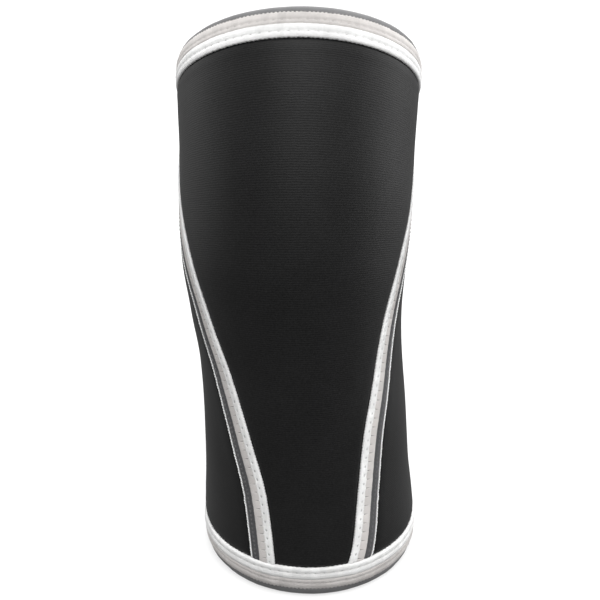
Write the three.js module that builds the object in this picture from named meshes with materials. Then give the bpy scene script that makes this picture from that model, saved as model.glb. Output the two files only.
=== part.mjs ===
// Knee sleeve: a padded tube that stands on its lower rim and leans back where the knee bends.
// Millimetres. +X is the viewer's right, -Y the front of the knee, +Z up.
import * as THREE from 'three';

// Driving sizes
const sleeveLength = 262; // along the tube's centre line
const topWidth = 128.6; // outer width across the upper rim
const topDepth = 144; // outer front-to-back depth at the upper rim
const backLean = 33; // degrees that the upper rim leans back from the lower one
const sideSway = 9.4; // how far the tube bows to the left above its middle
const wall = 7; // neoprene with its knitted faces

// Rim finish
const lipLength = 5.3; // bare foam edge past the stitching
const lipRound = 3.8; // how far that edge is rounded in from the outer face
const lipInnerRound = 0.8; // the same on its inner side
const rimGreyWidth = 5.4;
const rimWhiteWidth = 6.4;

// Side seams, measured across each strip
const seamWhiteWidth = 3.9;
const seamGreyWidth = 4.1;
const seamDarkWidth = 3.7;
const edgeThreadWidth = 0.9;

// Stitching sits in a shallow bed pressed into the panels
const bedDepth = 0.8;
const stitchRise = 0.5; // crown of a stitched band above the panel's face
const stitchEdgeRise = 0.1; // edges of a stitched band above the panel's face
const threadRise = 0.4; // crown of an edge thread above the panel's face
const gap = 0.3; // clearance between neighbouring pieces
const bedShoulder = 0.5; // run-out from the bed up to the panel's face

// Facets
const bodyRows = 19;
const frontColumns = 15;
const backColumns = 18;
const rimColumns = 60;
const lipRoundSteps = 4;

// Outline of the tube along its centre line. Width and depth follow the rim sizes,
// lean and sway follow the total lean and the largest sway.
const sections = [
  { share: 0.0, size: 0.87, lean: 0.0, sway: 0.12 },
  { share: 0.07, size: 0.88, lean: 0.0, sway: 0.15 },
  { share: 0.2, size: 0.845, lean: 0.07, sway: 0.31 },
  { share: 0.3, size: 0.833, lean: 0.13, sway: 0.41 },
  { share: 0.4, size: 0.827, lean: 0.21, sway: 0.63 },
  { share: 0.5, size: 0.855, lean: 0.31, sway: 0.9 },
  { share: 0.6, size: 0.905, lean: 0.44, sway: 1.0 },
  { share: 0.7, size: 0.928, lean: 0.6, sway: 0.94 },
  { share: 0.8, size: 0.942, lean: 0.78, sway: 0.88 },
  { share: 0.93, size: 0.978, lean: 1.0, sway: 0.79 },
  { share: 1.0, size: 0.985, lean: 1.0, sway: 0.74 },
];

// Front edge of each side seam: degrees round the tube from the middle of the front
const seams = [
  { share: 0.0, left: 17.5, right: 13 },
  { share: 0.1, left: 19, right: 22.5 },
  { share: 0.2, left: 22.3, right: 27.8 },
  { share: 0.3, left: 30.6, right: 32.4 },
  { share: 0.4, left: 39.4, right: 42.1 },
  { share: 0.5, left: 49.3, right: 51.8 },
  { share: 0.6, left: 60.3, right: 63.6 },
  { share: 0.7, left: 75.6, right: 78.5 },
  { share: 0.8, left: 90, right: 91 },
  { share: 0.9, left: 100, right: 100 },
  { share: 1.0, left: 105, right: 105 },
];

// Evenly spread values, both ends included
function spread(from, to, count) {
  return Array.from({ length: count + 1 }, (_, i) => THREE.MathUtils.lerp(from, to, i / count));
}

// Smooth curve through one column of a table, never past its neighbouring values
function curveThrough(table, column) {
  const x = table.map((row) => row.share);
  const y = table.map((row) => row[column]);
  const last = x.length - 1;
  const slope = x.slice(1).map((end, i) => (y[i + 1] - y[i]) / (end - x[i]));
  const tangent = y.map((value, i) => {
    const before = slope[Math.max(i - 1, 0)];
    const after = slope[Math.min(i, last - 1)];
    return before * after <= 0 ? 0 : (2 * before * after) / (before + after);
  });
  return (share) => {
    const i = Math.min(Math.max(x.findIndex((end) => end > share) - 1, 0), last - 1);
    const from = share >= x[last] ? last - 1 : i;
    const run = x[from + 1] - x[from];
    const t = (share - x[from]) / run;
    const rise = y[from + 1] - y[from];
    const bend = run * (tangent[from] * (1 - t) - tangent[from + 1] * t) - rise * (1 - 2 * t);
    return y[from] + rise * t + t * (1 - t) * bend;
  };
}

const sizeShare = curveThrough(sections, 'size');
const leanShare = curveThrough(sections, 'lean');
const swayShare = curveThrough(sections, 'sway');

// Centre line, stepped so finely that its length is true
const centreSteps = 400;
const centreLine = [{ y: 0, z: 0 }];
for (let i = 0; i < centreSteps; i += 1) {
  const lean = THREE.MathUtils.degToRad(backLean * leanShare((i + 0.5) / centreSteps));
  const step = sleeveLength / centreSteps;
  const { y, z } = centreLine[i];
  centreLine.push({ y: y + step * Math.sin(lean), z: z + step * Math.cos(lean) });
}

function centreAt(share) {
  const place = share * centreSteps;
  const i = Math.min(Math.floor(place), centreSteps - 1);
  const t = place - i;
  return {
    y: THREE.MathUtils.lerp(centreLine[i].y, centreLine[i + 1].y, t),
    z: THREE.MathUtils.lerp(centreLine[i].z, centreLine[i + 1].z, t),
  };
}

// A point on the tube: share along it, angle from the middle of the front (right is positive),
// and rise above the outer face. Every cross-section is flat and square to the centre line.
function tubePoint(share, angle, rise) {
  const halfWidth = (topWidth / 2) * sizeShare(share);
  const halfDepth = (topDepth / 2) * sizeShare(share);
  const lean = THREE.MathUtils.degToRad(backLean * leanShare(share));
  const centre = centreAt(share);
  const side = Math.sin(angle);
  const front = Math.cos(angle);
  const steep = Math.hypot(side / halfWidth, front / halfDepth);
  const across = halfWidth * side + (rise * side) / (halfWidth * steep);
  const forward = halfDepth * front + (rise * front) / (halfDepth * steep);
  return new THREE.Vector3(
    across - sideSway * swayShare(share),
    centre.y - forward * Math.cos(lean),
    centre.z + forward * Math.sin(lean),
  );
}

// Seam lines: the angle of a line that keeps a set distance behind the seam's front edge
const seamAngle = {
  left: curveThrough(seams, 'left'),
  right: curveThrough(seams, 'right'),
};
const sign = { left: -1, right: 1 };

function angleBehindSeam(side, share, distance) {
  const nudge = 0.002;
  const low = Math.max(share - nudge, 0);
  const high = Math.min(share + nudge, 1);
  const edge = (at) => sign[side] * THREE.MathUtils.degToRad(seamAngle[side](at));
  const along = tubePoint(high, edge(high), 0).sub(tubePoint(low, edge(low), 0)).normalize();
  const round = tubePoint(share, edge(share) + nudge, 0).sub(tubePoint(share, edge(share) - nudge, 0));
  round.divideScalar(2 * nudge);
  const across = round.length() * Math.sqrt(1 - (round.dot(along) / round.length()) ** 2);
  return edge(share) + (sign[side] * distance) / across;
}

// Closed body from rings of points: each ring closes on itself, and the body ends in two flat
// caps, or closes into a loop. Both side walls are split the same way, from their outer corner
// in one ring to their inner corner in the next, so that facing walls of two bodies run parallel.
function bodyFromRings(rings, looped) {
  const count = rings[0].length;
  const positions = rings.flat().flatMap((point) => point.toArray());
  const triangles = [];
  const ringPairs = looped ? rings.length : rings.length - 1;
  for (let i = 0; i < ringPairs; i += 1) {
    const here = i * count;
    const next = ((i + 1) % rings.length) * count;
    for (let j = 0; j < count; j += 1) {
      const k = (j + 1) % count;
      if (k > 0) {
        triangles.push(here + j, next + k, next + j, here + j, here + k, next + k);
      } else {
        triangles.push(here + j, here + k, next + j, here + k, next + k, next + j);
      }
    }
  }
  if (!looped) {
    capRing(triangles, 0, count, true);
    capRing(triangles, (rings.length - 1) * count, count, false);
  }
  const geometry = new THREE.BufferGeometry();
  geometry.setAttribute('position', new THREE.Float32BufferAttribute(positions, 3));
  geometry.setIndex(triangles);
  geometry.computeVertexNormals();
  return geometry;
}

// Cap of a ring whose first half faces its second half, laid as a ladder of quads
function capRing(triangles, start, count, flipped) {
  for (let j = 0; j < count / 2 - 1; j += 1) {
    const a = start + j;
    const b = start + j + 1;
    const c = start + count - 2 - j;
    const d = start + count - 1 - j;
    if (flipped) {
      triangles.push(a, c, b, a, d, c);
    } else {
      triangles.push(a, b, c, a, c, d);
    }
  }
}

// Shares along the tube where the rim finish begins and ends, counted from either rim
const mm = 1 / sleeveLength;
const lipEnd = lipLength * mm;
const rimGreyStart = lipEnd + gap * mm;
const rimGreyEnd = rimGreyStart + rimGreyWidth * mm;
const rimWhiteStart = rimGreyEnd + gap * mm;
const rimWhiteEnd = rimWhiteStart + rimWhiteWidth * mm;
const bedEnd = rimWhiteEnd + gap * mm;
const shoulderEnd = bedEnd + bedShoulder * mm;

// Rows of the walls and strips: low in the bed of each rim, level and evenly spread between
const bodyShares = spread(shoulderEnd, 1 - shoulderEnd, bodyRows);
const panelRows = [
  { share: rimGreyStart, bed: true },
  { share: bedEnd, bed: true },
  ...bodyShares.map((share) => ({ share, bed: false })),
  { share: 1 - bedEnd, bed: true },
  { share: 1 - rimGreyStart, bed: true },
];
const stripShares = [bedEnd, ...bodyShares, 1 - bedEnd];

// Distances behind the seam's front edge
const greyFrom = seamWhiteWidth + gap;
const darkFrom = greyFrom + seamGreyWidth + gap;
const threadFrom = darkFrom + seamDarkWidth + gap;
const seamWidth = threadFrom + edgeThreadWidth;
const jointAt = seamWidth / 2;

// One panel of the wall between two side edges. Its face is low in the bed of the rims and in
// the bed of the seam beside each edge, and level elsewhere.
function panel(columnsAt) {
  const rings = panelRows.map((row) => {
    const columns = columnsAt(row.share);
    const outer = columns.map(({ angle, bed }) => (
      tubePoint(row.share, angle, bed || row.bed ? -bedDepth : 0)
    ));
    const inner = columns.map(({ angle }) => tubePoint(row.share, angle, -wall));
    return [...outer, ...inner.reverse()];
  });
  return bodyFromRings(rings, false);
}

function frontPanel() {
  return panel((share) => {
    const edge = (side) => angleBehindSeam(side, share, jointAt - gap / 2);
    const bed = (side) => angleBehindSeam(side, share, -gap);
    const level = (side) => angleBehindSeam(side, share, -gap - bedShoulder);
    return [
      { angle: edge('left'), bed: true },
      { angle: bed('left'), bed: true },
      ...spread(level('left'), level('right'), frontColumns).map((angle) => ({ angle, bed: false })),
      { angle: bed('right'), bed: true },
      { angle: edge('right'), bed: true },
    ];
  });
}

function backPanel() {
  return panel((share) => {
    const turn = 2 * Math.PI;
    const behind = (side, distance) => angleBehindSeam(side, share, distance) + (side === 'left' ? turn : 0);
    const edge = (side) => behind(side, jointAt + gap / 2);
    const bed = (side) => behind(side, seamWidth + gap);
    const level = (side) => behind(side, seamWidth + gap + bedShoulder);
    return [
      { angle: edge('right'), bed: true },
      { angle: bed('right'), bed: true },
      ...spread(level('right'), level('left'), backColumns).map((angle) => ({ angle, bed: false })),
      { angle: bed('left'), bed: true },
      { angle: edge('left'), bed: true },
    ];
  });
}

// A stitched strip along a side seam: flat underside, crowned face
function seamStrip(side, from, width, crown) {
  const under = gap - bedDepth;
  const rings = stripShares.map((share) => {
    const at = (across, rise) => tubePoint(share, angleBehindSeam(side, share, from + width * across), rise);
    const ring = [
      at(0, stitchEdgeRise),
      at(0.5, crown),
      at(1, stitchEdgeRise),
      at(1, under),
      at(0.5, under),
      at(0, under),
    ];
    return side === 'right' ? ring : ring.reverse();
  });
  return bodyFromRings(rings, false);
}

// A ring round a rim: a closed profile of share and rise, carried round the tube
function rimRing(profile) {
  const rings = spread(0, 2 * Math.PI, rimColumns).slice(0, rimColumns).map((angle) => (
    profile.map(({ share, rise }) => tubePoint(share, angle, rise))
  ));
  return bodyFromRings(rings, true);
}

// Rim pieces are drawn for the upper rim as shares from its end, and turned over for the lower one
function atRim(upper, profile) {
  return upper ? profile.map(({ share, rise }) => ({ share: 1 - share, rise })) : [...profile].reverse();
}

function rimBand(upper, from, to) {
  const under = gap - bedDepth;
  return rimRing(atRim(upper, [
    { share: from, rise: under },
    { share: from, rise: stitchEdgeRise },
    { share: (from + to) / 2, rise: stitchRise },
    { share: to, rise: stitchEdgeRise },
    { share: to, rise: under },
  ]));
}

// The foam lip: rounded over from the outer face to a flat end, with a small inner round
function rimLip(upper) {
  const outerRound = spread(0, Math.PI / 2, lipRoundSteps).map((turn) => ({
    share: lipEnd * (1 - Math.cos(turn)),
    rise: -lipRound * (1 - Math.sin(turn)),
  }));
  return rimRing(atRim(upper, [
    { share: lipEnd, rise: -wall },
    { share: lipInnerRound * mm, rise: -wall },
    { share: 0, rise: lipInnerRound - wall },
    ...outerRound,
  ]));
}

const materials = {
  blackJersey: new THREE.MeshStandardMaterial({ color: 0x28282a, roughness: 0.85, metalness: 0 }),
  whiteThread: new THREE.MeshStandardMaterial({ color: 0xf4f4f2, roughness: 0.8, metalness: 0 }),
  warmGreyThread: new THREE.MeshStandardMaterial({ color: 0xc4beba, roughness: 0.8, metalness: 0 }),
  darkGreyThread: new THREE.MeshStandardMaterial({ color: 0x55565a, roughness: 0.85, metalness: 0 }),
  foamEdge: new THREE.MeshStandardMaterial({ color: 0x85868a, roughness: 0.9, metalness: 0 }),
};

const sleeve = new THREE.Group();

function add(name, geometry, material) {
  const mesh = new THREE.Mesh(geometry, material);
  mesh.name = name;
  sleeve.add(mesh);
}

add('front_panel', frontPanel(), materials.blackJersey);
add('back_panel', backPanel(), materials.blackJersey);
for (const [end, upper] of [['top', true], ['bottom', false]]) {
  add(`${end}_lip`, rimLip(upper), materials.foamEdge);
  add(`${end}_grey_band`, rimBand(upper, rimGreyStart, rimGreyEnd), materials.warmGreyThread);
  add(`${end}_white_band`, rimBand(upper, rimWhiteStart, rimWhiteEnd), materials.whiteThread);
}
for (const side of ['left', 'right']) {
  add(`${side}_white_strip`, seamStrip(side, 0, seamWhiteWidth, stitchRise), materials.whiteThread);
  add(`${side}_grey_strip`, seamStrip(side, greyFrom, seamGreyWidth, stitchRise), materials.warmGreyThread);
  add(`${side}_dark_strip`, seamStrip(side, darkFrom, seamDarkWidth, stitchRise), materials.darkGreyThread);
  add(`${side}_edge_thread`, seamStrip(side, threadFrom, edgeThreadWidth, threadRise), materials.whiteThread);
}

// The origin is under the middle of the whole sleeve, on the surface that it stands on
const box = new THREE.Box3().setFromObject(sleeve);
const middle = box.getCenter(new THREE.Vector3());
sleeve.position.set(-middle.x, -middle.y, -box.min.z);

export default sleeve;
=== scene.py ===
# Knee sleeve: padded neoprene panels with stitched rims and side seams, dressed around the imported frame.
import math

import bpy
import numpy as np
from bpy.props import FloatProperty, FloatVectorProperty, IntProperty, PointerProperty
from bpy.types import NodeSocket, Operator, Panel, PropertyGroup
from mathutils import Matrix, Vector


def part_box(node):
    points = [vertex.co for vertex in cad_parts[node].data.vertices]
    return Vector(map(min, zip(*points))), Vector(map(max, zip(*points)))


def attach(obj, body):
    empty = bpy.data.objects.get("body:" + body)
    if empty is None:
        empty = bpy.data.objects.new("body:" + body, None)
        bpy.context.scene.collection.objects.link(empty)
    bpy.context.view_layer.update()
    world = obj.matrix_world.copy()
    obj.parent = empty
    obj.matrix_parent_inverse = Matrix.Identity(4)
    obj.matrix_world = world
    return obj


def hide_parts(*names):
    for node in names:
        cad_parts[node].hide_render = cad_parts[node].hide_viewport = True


bl_info = {
    "name": "Knee sleeve",
    "version": (1, 0, 0),
    "blender": (4, 5, 0),
    "location": "3D View > Sidebar > Knee sleeve",
    "description": "Makes a padded knee sleeve with stitched rims and side seams",
    "category": "Object",
}

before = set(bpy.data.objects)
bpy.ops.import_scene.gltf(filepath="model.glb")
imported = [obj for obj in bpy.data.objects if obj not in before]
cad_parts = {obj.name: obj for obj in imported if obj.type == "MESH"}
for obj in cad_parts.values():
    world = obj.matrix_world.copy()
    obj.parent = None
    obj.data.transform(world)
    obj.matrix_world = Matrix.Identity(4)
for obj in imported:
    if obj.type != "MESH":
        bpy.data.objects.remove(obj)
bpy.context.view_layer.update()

MM = 0.001
BODY = "root"
SIDES = ("left", "right")
SIGN = {"left": -1.0, "right": 1.0}

# Outline of the tube along its centre line. Width and depth follow the rim sizes,
# lean and sway follow the total lean and the largest sway.
SECTION_COLUMNS = ("share", "size", "lean", "sway")
SECTIONS = (
    (0.0, 0.87, 0.0, 0.12),
    (0.07, 0.88, 0.0, 0.15),
    (0.2, 0.845, 0.07, 0.31),
    (0.3, 0.833, 0.13, 0.41),
    (0.4, 0.827, 0.21, 0.63),
    (0.5, 0.855, 0.31, 0.9),
    (0.6, 0.905, 0.44, 1.0),
    (0.7, 0.928, 0.6, 0.94),
    (0.8, 0.942, 0.78, 0.88),
    (0.93, 0.978, 1.0, 0.79),
    (1.0, 0.985, 1.0, 0.74),
)

# Front edge of each side seam: degrees round the tube from the middle of the front
SEAM_COLUMNS = ("share", "left", "right")
SEAMS = (
    (0.0, 17.5, 13.0),
    (0.1, 19.0, 22.5),
    (0.2, 22.3, 27.8),
    (0.3, 30.6, 32.4),
    (0.4, 39.4, 42.1),
    (0.5, 49.3, 51.8),
    (0.6, 60.3, 63.6),
    (0.7, 75.6, 78.5),
    (0.8, 90.0, 91.0),
    (0.9, 100.0, 100.0),
    (1.0, 105.0, 105.0),
)

# Faint folds left in the fabric: share and angle of both ends, depth and half width in mm
CREASES = (
    ((0.9, -26.0), (0.6, -26.0), 0.16, 1.6),
    ((0.88, -12.0), (0.84, 4.0), 0.1, 1.2),
    ((0.42, 8.0), (0.39, 26.0), 0.08, 1.8),
)


# Soft waves in the panels: height in mm, bends round the tube and along it, phase, and the bends
# and phase of a slower wave that it comes and goes with
WAVES = (
    (0.10, 3.0, 9.0, 0.6, 11.0, 1.1),
    (0.07, 7.0, -14.0, 2.0, 0.0, math.pi / 2.0),
    (0.05, 5.0, 31.0, 0.0, 0.0, math.pi / 2.0),
)

# Unevenness of the cut foam: height in mm, bends round the rim and phase
LIP_WAVES = (
    (0.08, 9.0, 0.4),
    (0.06, 23.0, 1.0),
    (0.04, 57.0, 0.0),
)


def length_of(name, description, metres):
    return FloatProperty(name=name, description=description, default=metres, unit="LENGTH")


def colour_of(name, description, colour):
    return FloatVectorProperty(name=name, description=description, default=colour, subtype="COLOR")


class KneeSleeveShape(PropertyGroup):
    length: length_of("Length", "Along the middle of the tube", 0.262)
    top_width: length_of("Top width", "Outer width across the upper rim", 0.1286)
    top_depth: length_of("Top depth", "Outer front-to-back depth of the upper rim", 0.144)
    back_lean: FloatProperty(
        name="Back lean", description="How far the upper rim leans back", default=math.radians(33.0),
        unit="ROTATION")
    side_sway: length_of("Side sway", "How far the tube bows to the left", 0.0094)
    wall: length_of("Wall", "Thickness of the padded wall", 0.007)
    gap: length_of("Gap", "Clearance between neighbouring pieces", 0.0003)
    rib_pitch: length_of("Rib pitch", "Distance between knitted courses", 0.000935)
    rib_height: length_of("Rib height", "Height of a knitted course", 0.000024)
    bed_depth: length_of("Bed depth", "How deep stitching sinks into the panels", 0.0008)


class KneeSleeveRims(PropertyGroup):
    lip_length: length_of("Lip length", "Bare foam past the stitching", 0.0053)
    lip_round: length_of("Lip round", "How far the foam is rounded in", 0.0038)
    grey_width: length_of("Grey width", "Width of the grey stitched band", 0.0054)
    white_width: length_of("White width", "Width of the white stitched band", 0.0064)
    tooth_pitch: length_of("Tooth pitch", "Distance between teeth over the lip", 0.002)
    tooth_height: length_of("Tooth height", "How far the teeth reach over the lip", 0.0008)
    dash_pitch: length_of("Dash pitch", "Distance between dimples in the white band", 0.0046)


class KneeSleeveSeams(PropertyGroup):
    white_width: length_of("White width", "Width of the white strip", 0.0039)
    grey_width: length_of("Grey width", "Width of the grey strip", 0.0041)
    dark_width: length_of("Dark width", "Width of the dark strip", 0.0037)
    thread_width: length_of("Edge thread width", "Width of the edge thread", 0.0009)
    dimple_pitch: length_of("Dimple pitch", "Distance between needle dimples", 0.0046)
    chain_pitch: length_of("Chain pitch", "Length of one chain stitch", 0.0024)
    bead_pitch: length_of("Bead pitch", "Length of one loop of the edge thread", 0.0015)
    threads_per_dimple: IntProperty(
        name="Threads per dimple", description="Threads laid across in one repeat", default=9, min=3)
    thread_radius: length_of("Thread radius", "Half the thickness of a thread", 0.0003)


class KneeSleeveColours(PropertyGroup):
    jersey: colour_of("Jersey", "Black knitted face", (0.0052, 0.0052, 0.0053))
    white: colour_of("White thread", "White stitching", (0.83, 0.83, 0.825))
    warm_grey: colour_of("Warm grey thread", "Warm grey stitching", (0.62, 0.595, 0.58))
    dark_grey: colour_of("Dark grey thread", "Dark grey stitching", (0.078, 0.078, 0.082))
    chain_grey: colour_of("Chain thread", "Light thread of the chain stitch", (0.16, 0.16, 0.16))
    foam: colour_of("Foam", "Cut foam edge", (0.19, 0.19, 0.192))
    floor: colour_of("Floor", "Floor of the stage", (0.35, 0.35, 0.35))


def settings():
    return bpy.context.scene.knee_sleeve


class KneeSleeveSettings(PropertyGroup):
    shape: PointerProperty(type=KneeSleeveShape)
    rims: PointerProperty(type=KneeSleeveRims)
    seams: PointerProperty(type=KneeSleeveSeams)
    colours: PointerProperty(type=KneeSleeveColours)


# Curves and tables

def smoothstep(low, high, value):
    t = np.clip((value - low) / (high - low), 0.0, 1.0)
    return t * t * (3.0 - 2.0 * t)


def curve_through(table, column):
    """A smooth curve through one column of a table, never past its neighbouring values."""
    x = np.array([row[0] for row in table])
    y = np.array([row[column] for row in table])
    slope = np.diff(y) / np.diff(x)
    before = np.concatenate([slope[:1], slope])
    after = np.concatenate([slope, slope[-1:]])
    same_way = before * after > 0.0
    tangent = np.where(same_way, 2.0 * before * after / np.where(same_way, before + after, 1.0), 0.0)

    def value(share):
        i = np.clip(np.searchsorted(x, share, side="right") - 1, 0, len(x) - 2)
        run = x[i + 1] - x[i]
        t = (share - x[i]) / run
        rise = y[i + 1] - y[i]
        bend = run * (tangent[i] * (1.0 - t) - tangent[i + 1] * t) - rise * (1.0 - 2.0 * t)
        return y[i] + rise * t + t * (1.0 - t) * bend

    return value


# The tube that every piece lies on

class Tube:
    """Outer face of the sleeve: a place for a share of the length, an angle and a rise."""

    samples = 1200
    smoothing = 9
    nudge = 0.002

    def __init__(self):
        self.shape = settings().shape
        self.shares = np.linspace(0.0, 1.0, self.samples + 1)
        self.size, lean, sway = (
            self.smooth(SECTIONS, SECTION_COLUMNS.index(name)) for name in ("size", "lean", "sway"))
        self.lean = lean * self.shape.back_lean
        self.sway = sway * self.shape.side_sway
        self.edge = {side: self.smooth(SEAMS, SEAM_COLUMNS.index(side)) for side in SIDES}
        step = self.shape.length / self.samples
        middle = (self.lean[1:] + self.lean[:-1]) / 2.0
        self.centre_y = np.concatenate([[0.0], np.cumsum(np.sin(middle) * step)])
        self.centre_z = np.concatenate([[0.0], np.cumsum(np.cos(middle) * step)])
        self.shift = np.zeros(3)
        self.shift = self.find_shift()

    def smooth(self, table, column):
        """Samples one column of a table and rounds off its small changes of bend."""
        values = curve_through(table, column)(self.shares)
        reach = 3 * self.smoothing
        weights = np.exp(-0.5 * (np.arange(-reach, reach + 1) / self.smoothing) ** 2)
        start = 2.0 * values[0] - values[reach:0:-1]
        end = 2.0 * values[-1] - values[-2:-reach - 2:-1]
        return np.convolve(np.concatenate([start, values, end]), weights / weights.sum(), mode="valid")

    def find_shift(self):
        """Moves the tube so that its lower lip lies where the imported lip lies."""
        low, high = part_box("bottom_lip")
        quarters = np.radians([0.0, 90.0, 180.0, 270.0])
        share = settings().rims.lip_length / self.shape.length
        edge = self.point(share, quarters, 0.0)
        return np.array([
            (low.x + high.x - edge[:, 0].max() - edge[:, 0].min()) / 2.0,
            (low.y + high.y - edge[:, 1].max() - edge[:, 1].min()) / 2.0,
            low.z,
        ])

    def at(self, values, share):
        return np.interp(share, self.shares, values)

    def point(self, share, angle, rise):
        share, angle, rise = np.broadcast_arrays(share, angle, rise)
        half_width = self.shape.top_width / 2.0 * self.at(self.size, share)
        half_depth = self.shape.top_depth / 2.0 * self.at(self.size, share)
        lean = self.at(self.lean, share)
        side, front = np.sin(angle), np.cos(angle)
        steep = np.hypot(side / half_width, front / half_depth)
        across = half_width * side + rise * side / (half_width * steep)
        forward = half_depth * front + rise * front / (half_depth * steep)
        place = np.stack([
            across - self.at(self.sway, share),
            self.at(self.centre_y, share) - forward * np.cos(lean),
            self.at(self.centre_z, share) + forward * np.sin(lean),
        ], axis=-1)
        return place + self.shift

    def beside(self, share):
        """A little before and a little after each share, kept on the tube."""
        return np.clip(share - self.nudge, 0.0, 1.0), np.clip(share + self.nudge, 0.0, 1.0)

    def slopes(self, share, angle):
        """How the place moves for each unit of share and each unit of angle."""
        low, high = self.beside(share)
        along = self.point(high, angle, 0.0) - self.point(low, angle, 0.0)
        turn = self.point(share, angle + self.nudge, 0.0) - self.point(share, angle - self.nudge, 0.0)
        return along / (high - low)[..., None], turn / (2.0 * self.nudge)

    def outward(self, share, angle):
        along, turn = self.slopes(share, angle)
        normal = np.cross(turn, along)
        return normal / np.linalg.norm(normal, axis=-1, keepdims=True)

    def share_from(self, end, distance):
        """Share of the length at a distance from the top or the bottom."""
        share = distance / self.shape.length
        return 1.0 - share if end == "top" else share

    def edge_angle(self, side, share):
        return SIGN[side] * np.radians(self.at(self.edge[side], share))

    def angle_behind(self, side, share, distance):
        """Angle of a line that keeps a set distance behind a seam's front edge."""
        edge = self.edge_angle(side, share)
        before, after = (self.point(near, self.edge_angle(side, near), 0.0) for near in self.beside(share))
        line = after - before
        line /= np.linalg.norm(line, axis=-1, keepdims=True)
        turn = self.slopes(share, edge)[1]
        squared = (turn ** 2).sum(-1) - (turn * line).sum(-1) ** 2
        return edge + SIGN[side] * distance / np.sqrt(squared)

    def behind_edge(self, side, share, distance):
        """Share and angle at a distance behind a seam's front edge, square to it."""
        edge = self.edge_angle(side, share)
        along, turn = self.slopes(share, edge)
        low, high = self.beside(share)
        swing = (self.edge_angle(side, high) - self.edge_angle(side, low)) / (high - low)
        line = along + swing[..., None] * turn
        share_part = (turn * line).sum(-1)
        angle_part = -(along * line).sum(-1)
        step = share_part[..., None] * along + angle_part[..., None] * turn
        scale = np.linalg.norm(step, axis=-1) * np.sign(angle_part) * SIGN[side]
        return share + share_part / scale * distance, edge + angle_part / scale * distance


# Bands: where each stitched band starts and ends

class Layout:
    """Distances from a rim's end along the tube, and behind a seam's front edge, in metres."""

    def __init__(self):
        shape, rims, seams = settings().shape, settings().rims, settings().seams
        self.grey_start = rims.lip_length + shape.gap
        self.grey_end = self.grey_start + rims.grey_width
        self.white_end = self.grey_end + shape.gap + rims.white_width
        self.bed_end = self.white_end + shape.gap
        self.seam_grey = seams.white_width + shape.gap
        self.seam_dark = self.seam_grey + seams.grey_width + shape.gap
        self.seam_thread = self.seam_dark + seams.dark_width + shape.gap
        self.seam_width = self.seam_thread + seams.thread_width
        self.joint = self.seam_width / 2.0


# Mesh helpers

def link(obj):
    bpy.context.scene.collection.objects.link(obj)
    return obj


def new_mesh(name, vertices, faces):
    mesh = bpy.data.meshes.new(name)
    mesh.from_pydata(vertices.tolist(), [], faces)
    mesh.shade_smooth()
    return mesh


def ladder(one, other, places):
    """Triangles between two rows of points that run the same way, each by the shorter rung."""

    def rung(i, j):
        inside = i < len(one) and j < len(other)
        return np.linalg.norm(places[one[i]] - places[other[j]]) if inside else np.inf

    faces = []
    i = j = 0
    while i < len(one) - 1 or j < len(other) - 1:
        if rung(i + 1, j) <= rung(i, j + 1):
            faces.append((one[i], one[i + 1], other[j]))
            i += 1
        else:
            faces.append((one[i], other[j + 1], other[j]))
            j += 1
    return faces


def signed_volume(vertices, faces):
    total = 0.0
    for count in (3, 4):
        chosen = np.array([face for face in faces if len(face) == count])
        if len(chosen):
            corners = vertices[chosen]
            for k in range(1, count - 1):
                total += np.einsum("ij,ij->", corners[:, 0], np.cross(corners[:, k], corners[:, k + 1]))
    return total


def ring_faces(rows, count, looped):
    """Quads of a stack of closed rings."""
    row = np.arange(rows if looped else rows - 1)[:, None]
    column = np.arange(count)[None, :]
    row_next, column_next = (row + 1) % rows, (column + 1) % count
    corners = (
        row * count + column, row * count + column_next,
        row_next * count + column_next, row_next * count + column)
    return np.stack(corners, axis=-1).reshape(-1, 4).tolist()


def solid(name, rings, outer_count=None, looped=False, uv=None):
    """A closed mesh from rings of points, its faces turned outwards."""
    rows, count = rings.shape[:2]
    vertices = rings.reshape(-1, 3)
    faces = ring_faces(rows, count, looped)
    if not looped:
        outer = list(range(outer_count))
        inner = list(range(count - 1, outer_count - 1, -1))
        last = (rows - 1) * count
        faces += [tuple(last + i for i in face) for face in ladder(outer, inner, rings[-1])]
        faces += [tuple(reversed(face)) for face in ladder(outer, inner, rings[0])]
    if signed_volume(vertices, faces) < 0.0:
        faces = [tuple(reversed(face)) for face in faces]
    mesh = new_mesh(name, vertices, faces)
    if uv is not None:
        add_uv(mesh, uv.reshape(-1, 2))
    return mesh


def add_uv(mesh, per_vertex, name="UVMap"):
    layer = mesh.uv_layers.new(name=name)
    index = np.zeros(len(mesh.loops), np.int32)
    mesh.loops.foreach_get("vertex_index", index)
    layer.data.foreach_set("uv", per_vertex[index].astype(np.float32).ravel())


def place_piece(obj, node):
    """Every piece rides on the sleeve's one body and stands for its CAD node."""
    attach(obj, BODY)
    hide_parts(node)


# Materials

def add_node(tree, kind, inputs=None, **attributes):
    """A node with its inputs set: a socket is wired in, anything else is a plain value."""
    node = tree.nodes.new(kind)
    for key, value in attributes.items():
        setattr(node, key, value)
    for key, value in (inputs or {}).items():
        if isinstance(value, NodeSocket):
            tree.links.new(value, node.inputs[key])
        else:
            node.inputs[key].default_value = value
    return node


def maths(tree, operation, *values):
    node = add_node(tree, "ShaderNodeMath", dict(enumerate(values)), operation=operation)
    return node.outputs["Value"]


def weighted(tree, *parts):
    """Sum of sockets, each times its weight."""
    total = 0.0
    for socket, weight in parts:
        total = maths(tree, "MULTIPLY_ADD", socket, weight, total)
    return total


def object_noise(tree, scale, detail, roughness=0.5):
    place = add_node(tree, "ShaderNodeTexCoord").outputs["Object"]
    inputs = {"Vector": place, "Scale": scale, "Detail": detail, "Roughness": roughness}
    return add_node(tree, "ShaderNodeTexNoise", inputs).outputs["Fac"]


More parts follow.
